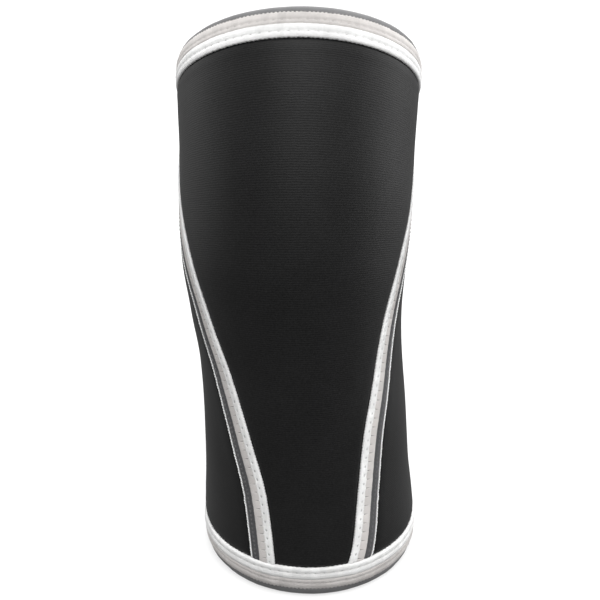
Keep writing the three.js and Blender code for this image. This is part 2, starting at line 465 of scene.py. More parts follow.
def tone_with_painted_shading(tree):
    """Tone that each thread carries in its mesh; on band bases it is painted shade between the threads, on
    lips painted light and shade.
    """
    return add_node(tree, "ShaderNodeAttribute", attribute_name="tone").outputs["Fac"]


def new_material(name, roughness, sheen=0.0, specular=0.35):
    material = bpy.data.materials.new(name)
    material.use_nodes = True
    shader = material.node_tree.nodes["Principled BSDF"]
    shader.inputs["Roughness"].default_value = roughness
    shader.inputs["Sheen Weight"].default_value = sheen
    shader.inputs["Sheen Roughness"].default_value = 0.45
    shader.inputs["Specular IOR Level"].default_value = specular
    return material, material.node_tree, shader


def tinted(tree, shader, colour, factor, darkest, lightest, span=(0.0, 1.0)):
    """Base colour between a darker and a lighter tone of one colour, over a span of the factor."""
    ramp = add_node(tree, "ShaderNodeValToRGB", {"Fac": factor})
    for element, tone, position in zip(ramp.color_ramp.elements, (darkest, lightest), span):
        element.color = (*[min(c * tone, 1.0) for c in colour], 1.0)
        element.position = position
    tree.links.new(ramp.outputs["Color"], shader.inputs["Base Color"])


def bumped(tree, shader, *layers):
    """Fine relief from layers of a height, a strength and a distance, one over the other."""
    below = {}
    for height, strength, distance in layers:
        inputs = {"Height": height, "Strength": strength, "Distance": distance, **below}
        below = {"Normal": add_node(tree, "ShaderNodeBump", inputs).outputs["Normal"]}
    tree.links.new(below["Normal"], shader.inputs["Normal"])


def jersey_material():
    """Fine black knit: rows of loops that follow the panel, with faint cloudy tone."""
    material, tree, shader = new_material("stretch_jersey", 0.55, sheen=0.02, specular=0.2)
    uv = add_node(tree, "ShaderNodeUVMap", uv_map="UVMap").outputs["UV"]
    rows_of_loops = add_node(tree, "ShaderNodeMapping", {"Vector": uv, "Scale": (0.16, 0.336, 1.0)})
    courses = add_node(
        tree, "ShaderNodeTexWave",
        {"Vector": rows_of_loops.outputs["Vector"], "Scale": 1.0, "Distortion": 2.2, "Detail": 2.0,
         "Detail Scale": 1.4},
        wave_type="BANDS", bands_direction="Y").outputs["Fac"]
    cloud = object_noise(tree, 38.0, 3.0, roughness=0.55)
    fleck = object_noise(tree, 1300.0, 2.0)
    tone = weighted(tree, (cloud, 0.35), (courses, 0.2), (fleck, 0.9))
    tinted(tree, shader, settings().colours.jersey, tone, 0.3, 2.2, span=(0.42, 1.0))
    bumped(tree, shader, (courses, 0.4, 0.12 * MM), (fleck, 0.6, 0.1 * MM))
    return material


def thread_material(name, colour):
    """Spun thread: a tone of its own for each stitch and a fine twist. A band's base takes the darkest tone,
    as painted shade between the threads.
    """
    material, tree, shader = new_material(name, 0.7, sheen=0.15)
    tone = weighted(tree, (object_noise(tree, 160.0, 2.0), 0.25), (tone_with_painted_shading(tree), 0.75))
    tinted(tree, shader, colour, tone, 0.48, 1.14)
    bumped(tree, shader, (object_noise(tree, 3500.0, 1.0), 0.3, 0.06 * MM))
    return material


def foam_material():
    """Cut foam: fine closed cells and a cloudy grey, with painted light on the lip's rounded end and painted
    shade beside the stitching.
    """
    material, tree, shader = new_material("cut_foam", 0.85)
    tone = weighted(tree, (object_noise(tree, 120.0, 4.0), 0.4), (tone_with_painted_shading(tree), 0.6))
    tinted(tree, shader, settings().colours.foam, tone, 0.5, 1.6)
    place = add_node(tree, "ShaderNodeTexCoord").outputs["Object"]
    cells = add_node(tree, "ShaderNodeTexVoronoi", {"Vector": place, "Scale": 1800.0})
    bumped(tree, shader, (cells.outputs["Distance"], 0.4, 0.12 * MM))
    return material


def material_named(name):
    """Each finish is made once and shared by its pieces."""
    colours = settings().colours
    makers = {"stretch_jersey": jersey_material, "cut_foam": foam_material}
    thread_colours = {
        "white_stitching": colours.white,
        "warm_grey_stitching": colours.warm_grey,
        "dark_grey_stitching": colours.dark_grey,
        "chain_stitching": colours.chain_grey,
    }
    if name in bpy.data.materials:
        return bpy.data.materials[name]
    return makers[name]() if name in makers else thread_material(name, thread_colours[name])


# Panels

class KNEESLEEVE_OT_panels(Operator):
    """Make the front and back panels of padded black knit"""

    bl_idname = "kneesleeve.panels"
    bl_label = "Padded panels"

    rows_per_rib = 3
    shoulder = 1.8 * MM
    puff_reach = 4.5 * MM
    puff_height = 0.12 * MM
    near_seam = (-1.2, -0.3, 0.3, 0.8, 1.3, 1.8, 2.6, 3.6, 4.8, 6.4)
    middle_columns = 50
    inner_columns = 26

    def execute(self, context):
        tube, layout = Tube(), Layout()
        for name in ("front_panel", "back_panel"):
            self.make_panel(tube, layout, name)
        return {"FINISHED"}

    def rows(self, tube, layout):
        """Shares from one lip to the other, three to each knitted course."""
        start = layout.grey_start / tube.shape.length
        step = tube.shape.rib_pitch / self.rows_per_rib / tube.shape.length
        count = round((1.0 - 2.0 * start) / step)
        return np.linspace(start, 1.0 - start, count + 1)

    def columns(self, tube, layout, name, share):
        """Angle of each column and its distance outside the seam, one row for each share."""
        front = name == "front_panel"
        outside = np.array([-(layout.joint - tube.shape.gap / 2.0), *[d * MM for d in self.near_seam]])
        behind = -outside if front else layout.seam_width + outside
        turn = 2.0 * np.pi
        one, other = ("left", "right") if front else ("right", "left")

        def angles(side, distance):
            angle = tube.angle_behind(side, share, distance)
            return angle + turn if side == "left" and not front else angle

        near_one = np.stack([angles(one, d) for d in behind], axis=1)
        near_other = np.stack([angles(other, d) for d in behind[::-1]], axis=1)
        t = np.linspace(0.0, 1.0, self.middle_columns + 2)[None, 1:-1]
        middle = near_one[:, -1:] * (1.0 - t) + near_other[:, :1] * t
        angle = np.concatenate([near_one, middle, near_other], axis=1)
        far = np.full(self.middle_columns, 1.0)
        away = np.concatenate([outside, far, outside[::-1]])
        return angle, away

    def relief(self, tube, layout, share, angle, away):
        """Rise of the outer face: beds under the stitching, knitted courses, soft waves and folds."""
        length, shape = tube.shape.length, tube.shape
        end = np.minimum(share, 1.0 - share) * length - layout.white_end
        nearest = np.minimum(away[None, :], end[:, None])
        bed = 1.0 - smoothstep(-0.2 * MM, self.shoulder, nearest)
        puff = np.exp(-((nearest - self.puff_reach) / (0.5 * self.puff_reach)) ** 2) * self.puff_height
        course = np.cos(2.0 * np.pi * (share - share[0]) * length / shape.rib_pitch)[:, None]
        ribs = course * shape.rib_height * (1.0 - bed)
        share = share[:, None]
        waves = sum(
            height * np.sin(round_tube * angle + along * share + phase) * np.sin(slow * share + slow_phase)
            for height, round_tube, along, phase, slow, slow_phase in WAVES)
        rise = -shape.bed_depth * bed + puff + ribs + waves * MM * (1.0 - bed)
        return rise + self.creases(tube, share, angle) * (1.0 - bed)

    def creases(self, tube, share, angle):
        total = np.zeros(np.broadcast_shapes(share.shape, angle.shape))
        radius = tube.shape.top_width / 2.0
        for (share_a, angle_a), (share_b, angle_b), depth, half_width in CREASES:
            start = np.array([share_a * tube.shape.length, np.radians(angle_a) * radius])
            run = np.array([share_b * tube.shape.length, np.radians(angle_b) * radius]) - start
            along = share * tube.shape.length - start[0]
            across = angle * radius - start[1]
            t = (along * run[0] + across * run[1]) / (run @ run)
            off = (along * run[1] - across * run[0]) / np.linalg.norm(run)
            fade = smoothstep(-0.05, 0.25, t) * (1.0 - smoothstep(0.7, 1.05, t))
            total -= depth * MM * fade * np.exp(-(off / (half_width * MM)) ** 2)
        return total

    def make_panel(self, tube, layout, name):
        share = self.rows(tube, layout)
        angle, away = self.columns(tube, layout, name, share)
        rise = self.relief(tube, layout, share, angle, away)
        outer = tube.point(share[:, None], angle, rise)
        t = np.linspace(1.0, 0.0, self.inner_columns)[None, :]
        inner_angle = angle[:, :1] * (1.0 - t) + angle[:, -1:] * t
        inner_rise = -tube.shape.wall + 0.1 * MM * np.sin(6.0 * inner_angle + 20.0 * share[:, None])
        inner = tube.point(share[:, None], inner_angle, inner_rise)
        radius = tube.shape.top_width / 2.0
        every_angle = np.concatenate([angle, inner_angle], axis=1)
        along = np.broadcast_to(share[:, None] * tube.shape.length, every_angle.shape)
        uv = np.stack([every_angle * radius, along], axis=-1) / MM
        rings = np.concatenate([outer, inner], axis=1)
        mesh = solid(name + "_knit", rings, outer_count=angle.shape[1], uv=uv)
        panel = link(bpy.data.objects.new(name + "_knit", mesh))
        mesh.materials.append(material_named("stretch_jersey"))
        place_piece(panel, name)


# Foam lips

class KNEESLEEVE_OT_lips(Operator):
    """Make the bare foam edge past the stitching at each rim"""

    bl_idname = "kneesleeve.lips"
    bl_label = "Foam lips"

    turns = 320
    round_steps = 14
    inner_round = 0.9 * MM
    trim = 1.1 * MM
    trim_left = 0.5 * MM
    # Painted light and shade on the lip: tone by share of the lip from the rim's end, lighter at the rounded
    # end that faces the light, darker beside the stitching where shade falls.
    painted_light_and_shade = ((0.0, 1.0), (0.25, 0.8), (0.5, 0.3), (1.0, 0.2))

    def execute(self, context):
        tube = Tube()
        for end in ("top", "bottom"):
            self.make_lip(tube, end)
        return {"FINISHED"}

    def profile(self, tube):
        """Distance from the rim's end and rise of the lip's section, as a closed ring."""
        rims, wall = settings().rims, tube.shape.wall
        length, inner = rims.lip_length, self.inner_round
        quarter = np.linspace(0.0, np.pi / 2.0, self.round_steps)
        ring = [(length * (1.0 - np.cos(q)), -rims.lip_round * (1.0 - np.sin(q))) for q in quarter]
        ring += [(length, rise) for rise in np.linspace(-0.8 * MM, -wall, 6)]
        ring += [(length * share, -wall) for share in (0.7, 0.45)]
        ring += [(inner * (1.0 - np.sin(q)), -wall + inner * (1.0 - np.cos(q))) for q in quarter[::2]]
        ring += [(0.0, -rims.lip_round - 0.4 * (wall - rims.lip_round - inner))]
        return np.array(ring)

    def make_lip(self, tube, end):
        ring = self.profile(tube)
        angle = np.linspace(0.0, 2.0 * np.pi, self.turns, endpoint=False)[:, None]
        flat = smoothstep(0.0, 1.0 * MM, ring[:, 0])[None, :]
        outer = smoothstep(-0.9, -0.1, ring[:, 1] / tube.shape.wall)[None, :]
        wander = sum(height * np.sin(bends * angle + phase) for height, bends, phase in LIP_WAVES)
        rise = ring[None, :, 1] + wander * MM * flat * outer
        trim = (self.trim - self.trim_left * np.sin(angle)) if end == "top" else 0.0
        from_end = trim + ring[None, :, 0] * (1.0 - trim / settings().rims.lip_length)
        share = tube.share_from(end, np.broadcast_to(from_end, rise.shape))
        mesh = solid(end + "_lip_foam", tube.point(share, angle, rise), looped=True)
        # Painted light and shade, stored as the lip's tone.
        tone = np.interp(ring[:, 0] / settings().rims.lip_length, *zip(*self.painted_light_and_shade))
        layer = mesh.attributes.new("tone", "FLOAT", "POINT")
        layer.data.foreach_set("value", np.tile(tone, self.turns).astype(np.float32))
        lip = link(bpy.data.objects.new(end + "_lip_foam", mesh))
        mesh.materials.append(material_named("cut_foam"))
        place_piece(lip, end + "_lip")


# Stitching: threads are drawn flat, repeated along a band and laid onto the tube

def thread(points, radius, sides=4):
    """Vertices and faces of one closed thread along points, all in metres."""
    points = np.asarray(points, float)
    tangent = np.gradient(points, axis=0)
    tangent /= np.linalg.norm(tangent, axis=1, keepdims=True)
    up = np.array([0.0, 0.0, 1.0]) - tangent * tangent[:, 2:3]
    up /= np.linalg.norm(up, axis=1, keepdims=True)
    side = np.cross(tangent, up)
    turn = np.linspace(0.0, 2.0 * np.pi, sides, endpoint=False) + np.pi / 2.0
    radius = np.broadcast_to(radius, len(points))[:, None, None]
    spoke = np.cos(turn)[None, :, None] * side[:, None, :] + np.sin(turn)[None, :, None] * up[:, None, :]
    rings = points[:, None, :] + radius * spoke
    faces = ring_faces(len(points), sides, False)
    faces.append(tuple(range(sides - 1, -1, -1)))
    faces.append(tuple((len(points) - 1) * sides + k for k in range(sides)))
    return rings.reshape(-1, 3), faces


def cell_object(name, threads):
    """One repeat of the stitching as a flat mesh: x along the band, y across it, z up."""
    vertices, faces, start = [], [], 0
    for points, own_faces in threads:
        vertices.append(points)
        faces += [tuple(start + i for i in face) for face in own_faces]
        start += len(points)
    mesh = new_mesh(name, np.concatenate(vertices), faces)
    return link(bpy.data.objects.new(name, mesh))


def band_guide(name, place, outward, length, low, high, wrap):
    """The face that a band lies on, unrolled in its UV map: length along, low to high across."""
    rows, columns = place.shape[:2]
    index = np.arange(rows * columns).reshape(rows, columns)
    faces = np.stack([index[:-1, :-1], index[:-1, 1:], index[1:, 1:], index[1:, :-1]], axis=-1).reshape(-1, 4)
    mesh = new_mesh(name, place.reshape(-1, 3), faces.tolist())
    along, across = np.meshgrid(np.linspace(0.0, 1.0, rows), np.linspace(0.0, 1.0, columns), indexing="ij")
    add_uv(mesh, np.stack([along, across], axis=-1).reshape(-1, 2))
    normal = mesh.attributes.new("outward", "FLOAT_VECTOR", "POINT")
    normal.data.foreach_set("vector", outward.reshape(-1, 3).astype(np.float32).ravel())
    guide = link(bpy.data.objects.new(name, mesh))
    across_way = place[rows // 2, -1] - place[rows // 2, 0]
    along_way = place[rows // 2 + 1, 0] - place[rows // 2, 0]
    facing = np.dot(np.cross(along_way, across_way), outward[rows // 2, 0])
    return {"object": guide, "length": length, "low": low, "high": high, "wrap": wrap, "turned": facing < 0.0}


# Share of a guide kept free at its ends, so that every stitch lands on it
GUIDE_EDGE = 0.0001

# A stitch nearer to the origin than this has fallen off its guide
FALLEN = 5.0 * MM

# A band's base lies this far under the crown of its threads, and its underside at this rise
RIBBON_SINK = 0.18 * MM
RIBBON_UNDER = -0.45 * MM

# Both ends of a thread dive to this rise
THREAD_END = -0.55 * MM

# Threads of one band differ in tone, in height and in their place across the band
THREAD_TONES = {"Min": 0.8, "Max": 1.0}
HEIGHT_WANDER = 0.05 * MM

# Noise behind both wanders: waves per metre, the pull across the band, a shift that parts the two
RISE_WAVES = 420.0
SWAY_WAVES = 300.0
RISE_PULL = 0.35
SWAY_SHIFT = 7.0

STITCHING_INPUTS = (
    ("Ribbon", "Geometry"), ("Guide", "Object"), ("Stitch", "Object"), ("Repeats", "Int"),
    ("Repeat Length", "Float"), ("Guide Start", "Float"), ("Guide Length", "Float"),
    ("Guide Low", "Float"), ("Guide Width", "Float"),
    ("Height Wander", "Float"), ("Side Wander", "Float"), ("Seed", "Int"), ("Turned", "Bool"),
    ("Material", "Material"),
)


def stitching_tree():
    """Node tree that repeats a stitch along a band and lays it onto the band's guide."""
    name = "stitching along a band"
    if name in bpy.data.node_groups:
        return bpy.data.node_groups[name]
    tree = bpy.data.node_groups.new(name, "GeometryNodeTree")
    for label, kind in STITCHING_INPUTS:
        tree.interface.new_socket(name=label, in_out="INPUT", socket_type="NodeSocket" + kind)
    tree.interface.new_socket(name="Geometry", in_out="OUTPUT", socket_type="NodeSocketGeometry")
    given = add_node(tree, "NodeGroupInput").outputs
    position = add_node(tree, "GeometryNodeInputPosition").outputs["Position"]

    def geometry_of(label):
        return add_node(tree, "GeometryNodeObjectInfo", {"Object": given[label]}).outputs["Geometry"]

    def vector(x, y=0.0):
        return add_node(tree, "ShaderNodeCombineXYZ", {"X": x, "Y": y}).outputs["Vector"]

    def named(label):
        node = add_node(tree, "GeometryNodeInputNamedAttribute", {"Name": label}, data_type="FLOAT_VECTOR")
        return node.outputs["Attribute"]

    def drift(scale, place):
        """Slow wander over the unrolled band."""
        inputs = {"Vector": place, "Scale": scale, "Detail": 1.0}
        node = add_node(tree, "ShaderNodeTexNoise", inputs, noise_dimensions="2D", normalize=False)
        return node.outputs["Fac"]

    def random_tone():
        seed = maths(tree, "ADD", given["Seed"], 1)
        pick = add_node(tree, "FunctionNodeRandomValue", {"Seed": seed}, data_type="FLOAT")
        for socket in pick.inputs:
            if socket.type == "VALUE" and socket.name in THREAD_TONES:
                socket.default_value = THREAD_TONES[socket.name]
        return next(socket for socket in pick.outputs if socket.type == "VALUE")

    row = add_node(
        tree, "GeometryNodeMeshLine", {"Count": given["Repeats"], "Offset": vector(given["Repeat Length"])},
        mode="OFFSET")
    spread = add_node(
        tree, "GeometryNodeInstanceOnPoints",
        {"Points": row.outputs["Mesh"], "Instance": geometry_of("Stitch")})
    toned = add_node(
        tree, "GeometryNodeStoreNamedAttribute",
        {"Geometry": spread.outputs["Instances"], "Name": "tone", "Value": random_tone()},
        data_type="FLOAT", domain="INSTANCE")
    loose = add_node(tree, "GeometryNodeRealizeInstances", {"Geometry": toned.outputs["Geometry"]})

    spot = add_node(tree, "ShaderNodeSeparateXYZ", {"Vector": position}).outputs
    rise = drift(RISE_WAVES, vector(spot["X"], maths(tree, "MULTIPLY", spot["Y"], RISE_PULL)))
    sway = drift(SWAY_WAVES, vector(maths(tree, "ADD", spot["X"], SWAY_SHIFT)))
    swayed = maths(tree, "ADD", spot["Y"], maths(tree, "MULTIPLY", sway, given["Side Wander"]))

    def share_of_guide(value, low, size):
        share = maths(tree, "DIVIDE", maths(tree, "SUBTRACT", value, given[low]), given[size])
        return maths(tree, "MINIMUM", maths(tree, "MAXIMUM", share, GUIDE_EDGE), 1.0 - GUIDE_EDGE)

    unrolled = vector(
        share_of_guide(spot["X"], "Guide Start", "Guide Length"),
        share_of_guide(swayed, "Guide Low", "Guide Width"))
    guide = geometry_of("Guide")

    def on_guide(value):
        inputs = {"Mesh": guide, "Value": value, "Source UV Map": named("UVMap"), "Sample UV": unrolled}
        node = add_node(tree, "GeometryNodeSampleUVSurface", inputs, data_type="FLOAT_VECTOR")
        return node.outputs["Value"]

    height = maths(tree, "ADD", spot["Z"], maths(tree, "MULTIPLY", rise, given["Height Wander"]))
    lift = add_node(
        tree, "ShaderNodeVectorMath", {"Vector": on_guide(named("outward")), "Scale": height},
        operation="SCALE")
    laid = add_node(
        tree, "ShaderNodeVectorMath", {0: on_guide(position), 1: lift.outputs["Vector"]}, operation="ADD")
    settled = add_node(
        tree, "GeometryNodeSetPosition",
        {"Geometry": loose.outputs["Geometry"], "Position": laid.outputs["Vector"]})
    turned = add_node(
        tree, "GeometryNodeFlipFaces", {"Mesh": settled.outputs["Geometry"], "Selection": given["Turned"]})
    soft = add_node(tree, "GeometryNodeSetShadeSmooth", {"Geometry": turned.outputs["Mesh"]})
    dyed = add_node(
        tree, "GeometryNodeSetMaterial",
        {"Geometry": soft.outputs["Geometry"], "Material": given["Material"]})
    together = add_node(tree, "GeometryNodeJoinGeometry", {"Geometry": dyed.outputs["Geometry"]})
    tree.links.new(given["Ribbon"], together.inputs["Geometry"])
    add_node(tree, "NodeGroupOutput", {"Geometry": together.outputs["Geometry"]})
    return tree


def run_along(places):
    """Distance from the first of a row of places to each of them."""
    return np.concatenate([[0.0], np.cumsum(np.linalg.norm(np.diff(places, axis=0), axis=1))])


def repeats_along(guide, pitch):
    """How many whole repeats fit along a guide, and the length of each."""
    repeats = round(guide["length"] / pitch)
    return repeats, guide["length"] / repeats


def spread_in(repeat, count):
    """Number and place of each thread laid across one repeat."""
    return [(k, (k + 0.5) * repeat / count) for k in range(count)]


def stitch_on(ribbon, guide, threads, repeats, repeat_length, material, seed, side_wander=0.1 * MM):
    """Adds one kind of stitching to a ribbon as plain mesh, through the node tree."""
    stitch = cell_object(ribbon.name + "_repeat", threads)
    modifier = ribbon.modifiers.new("stitching", "NODES")
    modifier.node_group = stitching_tree()
    values = {
        "Guide": guide["object"], "Stitch": stitch, "Repeats": repeats, "Repeat Length": repeat_length,
        "Guide Start": -guide["wrap"], "Guide Length": guide["length"] + 2.0 * guide["wrap"],
        "Guide Low": guide["low"], "Guide Width": guide["high"] - guide["low"],
        "Height Wander": HEIGHT_WANDER, "Side Wander": side_wander, "Seed": seed,
        "Turned": bool(guide["turned"]), "Material": material_named(material),
    }
    for item in modifier.node_group.interface.items_tree:
        if item.in_out == "INPUT" and item.name in values:
            modifier[item.identifier] = values[item.name]
    ribbon.update_tag()
    bpy.context.view_layer.update()
    evaluated = ribbon.evaluated_get(bpy.context.evaluated_depsgraph_get())
    finished = bpy.data.meshes.new_from_object(evaluated)
    plain = ribbon.data
    ribbon.modifiers.remove(modifier)
    ribbon.data = finished
    finished.name = plain.name + "_stitched"
    bpy.data.meshes.remove(plain)
    bpy.data.objects.remove(stitch)
    places = np.empty(len(finished.vertices) * 3, np.float32)
    finished.vertices.foreach_get("co", places)
    if np.linalg.norm(places.reshape(-1, 3), axis=1).min() < FALLEN:
        raise RuntimeError(ribbon.name + ": a stitch fell off its guide")


def finish_band(ribbon, guide, node):
    bpy.data.objects.remove(guide["object"])
    place_piece(ribbon, node)


class Profile:
    """Height across a band, in metres, through points given in mm."""

    def __init__(self, *points):
        self.across = np.array([p[0] for p in points]) * MM
        self.height = np.array([p[1] for p in points]) * MM

    def __call__(self, across):
        return np.interp(across, self.across, self.height)


def ribbon_object(name, place_at, stations, low, high, profile, material, looped):
    """The closed base that the threads of a band lie on, coloured darkest as painted shade between the
    threads.
    """
    across = np.linspace(low, high, 9)
    top = profile(across) - RIBBON_SINK
    top[0] = top[-1] = RIBBON_UNDER + 0.1 * MM
    ring_across = np.concatenate([across, across[::-1]])
    ring_rise = np.concatenate([top, np.full(len(across), RIBBON_UNDER)])
    rings = place_at(stations[:, None], ring_across[None, :], ring_rise[None, :])
    mesh = solid(name, rings, outer_count=len(across), looped=looped)
    # Tone zero puts the base at its thread colour's darkest: painted shade between the threads.
    tone = mesh.attributes.new("tone", "FLOAT", "POINT")
    tone.data.foreach_set("value", np.zeros(len(mesh.vertices), np.float32))
    mesh.materials.append(material_named(material))
    return link(bpy.data.objects.new(name, mesh))


def needle_dimple(middle, across, depth, length, width):
    """Depth of the dimple that a needle left at one place of a repeat, its sizes in mm."""
    def dip(x, y):
        off = ((x - middle) / (length * MM)) ** 2 + ((y - across * MM) / (width * MM)) ** 2
        return depth * MM * np.exp(-off)
    return dip


def cross_thread(x, stations, profile, radius, dip=None, x_at=None):
    """One thread laid across a band: it follows the band's profile and dives in at both ends."""
    y = np.asarray(stations)
    z = profile(y) - 0.4 * radius
    if dip is not None:
        z = z - dip(x, y)
    z[0] = z[-1] = THREAD_END
    xs = np.full(len(y), x) if x_at is None else x_at(x, y)
    return thread(np.stack([xs, y, z], axis=1), radius)


# Rim stitching

class KNEESLEEVE_OT_rim_bands(Operator):
    """Make the white and grey stitched bands round both rims"""

    bl_idname = "kneesleeve.rim_bands"
    bl_label = "Rim stitching"

    turns = 720
    fine_steps = 2880
    ribbon_turns = 480
    guide_columns = 9
    margin = 1.6 * MM
    wrap = 12.0 * MM
    seam_lift = 0.3 * MM
    lift_inside = 0.01
    lift_outside = 0.035
    teeth_in_repeat = 2
    threads_in_repeat = 8
    threads = {"white": "white_stitching", "grey": "warm_grey_stitching"}
    profiles = {
        "white": Profile(
            (-0.2, -0.1), (0.0, 0.15), (0.4, 0.52), (1.4, 0.75), (2.4, 0.7), (2.95, 0.55), (3.5, 0.72),
            (4.7, 0.95), (5.9, 0.8), (6.5, 0.55), (6.9, 0.2)),
        "grey": Profile(
            (-0.3, 0.3), (0.0, 0.5), (0.7, 0.74), (1.4, 0.72), (2.0, 0.54), (2.6, 0.68), (3.8, 0.66),
            (4.8, 0.42), (5.5, 0.14), (6.4, -0.12)),
    }

    def execute(self, context):
        tube, layout = Tube(), Layout()
        for number, end in enumerate(("top", "bottom")):
            self.make_white(tube, layout, end, 11 + number)
            self.make_grey(tube, layout, end, 21 + number)
        return {"FINISHED"}

    def place_at(self, tube, layout, end, body_edge):
        """Place for an angle, a distance from the band's body edge towards the lip, and a rise."""
        def place(angle, across, rise):
            share = tube.share_from(end, body_edge - across)
            return tube.point(share, angle, rise + self.lift_over_seams(tube, layout, end, angle))
        return place

    def lift_over_seams(self, tube, layout, end, angle):
        """The band rises a little where it crosses the side seams."""
        share = np.array(tube.share_from(end, layout.bed_end))
        lift = 0.0
        for side in SIDES:
            near = tube.angle_behind(side, share, 0.0)
            far = tube.angle_behind(side, share, layout.seam_width)
            middle, half = (near + far) / 2.0, abs(far - near) / 2.0
            off = np.abs((angle - middle + np.pi) % (2.0 * np.pi) - np.pi)
            away = smoothstep(half - self.lift_inside, half + self.lift_outside, off)
            lift = lift + self.seam_lift * (1.0 - away)
        return lift

    def even_angles(self, tube, layout, end, wrap):
        """Angles at even distances round the rim, and the distance all round."""
        share = tube.share_from(end, layout.grey_end)
        fine = np.linspace(0.0, 2.0 * np.pi, self.fine_steps + 1)
        run = run_along(tube.point(share, fine, 0.0))
        around = run[-1]
        wanted = np.linspace(-wrap, around + wrap, self.turns + 1)
        laps, rest = np.floor(wanted / around), wanted % around
        return np.interp(rest, run, fine) + laps * 2.0 * np.pi - np.pi, around

    def guide(self, tube, layout, end, body_edge, width):
        angle, around = self.even_angles(tube, layout, end, self.wrap)
        low, high = -self.margin, width + self.margin
        across = np.linspace(low, high, self.guide_columns)
        place = self.place_at(tube, layout, end, body_edge)(angle[:, None], across[None, :], 0.0)
        share = tube.share_from(end, body_edge - across)
        outward = tube.outward(*np.broadcast_arrays(share[None, :], angle[:, None]))
        return band_guide(end + "_guide", place, outward, around, low, high, self.wrap)

    def band(self, tube, layout, end, colour, body_edge, width, tucks):
        """A band's base ribbon and the guide that its threads lie on."""
        place = self.place_at(tube, layout, end, body_edge)
        angles = np.linspace(-np.pi, np.pi, self.ribbon_turns, endpoint=False)
        low, high = tucks
        ribbon = ribbon_object(
            f"{end}_{colour}_band_stitching", place, angles, low * MM, width + high * MM,
            self.profiles[colour], self.threads[colour], looped=True)
        return ribbon, self.guide(tube, layout, end, body_edge, width)

    def make_white(self, tube, layout, end, seed):
        rims, seams = settings().rims, settings().seams
        width = layout.white_end - layout.grey_end
        ribbon, guide = self.band(tube, layout, end, "white", layout.white_end, width, (0.15, -0.05))
        repeats, repeat = repeats_along(guide, rims.dash_pitch)
        dip = needle_dimple(repeat / 2, across=2.95, depth=0.22, length=0.8, width=0.5)
        threads = []
        for k, x in spread_in(repeat, seams.threads_per_dimple):
            stations = np.array([0.12, 0.26, 0.7, 1.5, 2.5, 2.95, 3.5, 4.7, 6.0, 6.6, 6.95]) * MM
            stations[:2] -= (0.0, 0.12, 0.22, 0.08, -0.04)[k % 5] * MM
            threads.append(cross_thread(x, stations, self.profiles["white"], seams.thread_radius, dip))
        stitch_on(ribbon, guide, threads, repeats, repeat, "white_stitching", seed)
        finish_band(ribbon, guide, end + "_white_band")

    def make_grey(self, tube, layout, end, seed):
        rims, seams = settings().rims, settings().seams
        width = layout.grey_end - layout.grey_start
        ribbon, guide = self.band(tube, layout, end, "grey", layout.grey_end, width, (0.1, 0.1))
        repeats, repeat = repeats_along(guide, self.teeth_in_repeat * rims.tooth_pitch)
        dip = needle_dimple(repeat / 2, across=2.0, depth=0.2, length=1.0, width=0.4)
        threads = []
        for _, x in spread_in(repeat, self.threads_in_repeat):
            phase = (x * self.teeth_in_repeat / repeat) % 1.0
            tooth = rims.tooth_height * (1.0 - abs(2.0 * phase - 1.0))
            stations = np.array([-0.25, -0.1, 0.5, 1.4, 2.0, 2.6, 3.8, 4.9, 5.35, 5.5]) * MM
            stations[-3:] += tooth * np.array([0.6, 1.0, 1.05])
            threads.append(cross_thread(x, stations, self.profiles["grey"], seams.thread_radius, dip))
        stitch_on(ribbon, guide, threads, repeats, repeat, "warm_grey_stitching", seed)
        finish_band(ribbon, guide, end + "_grey_band")


# Side seam stitching

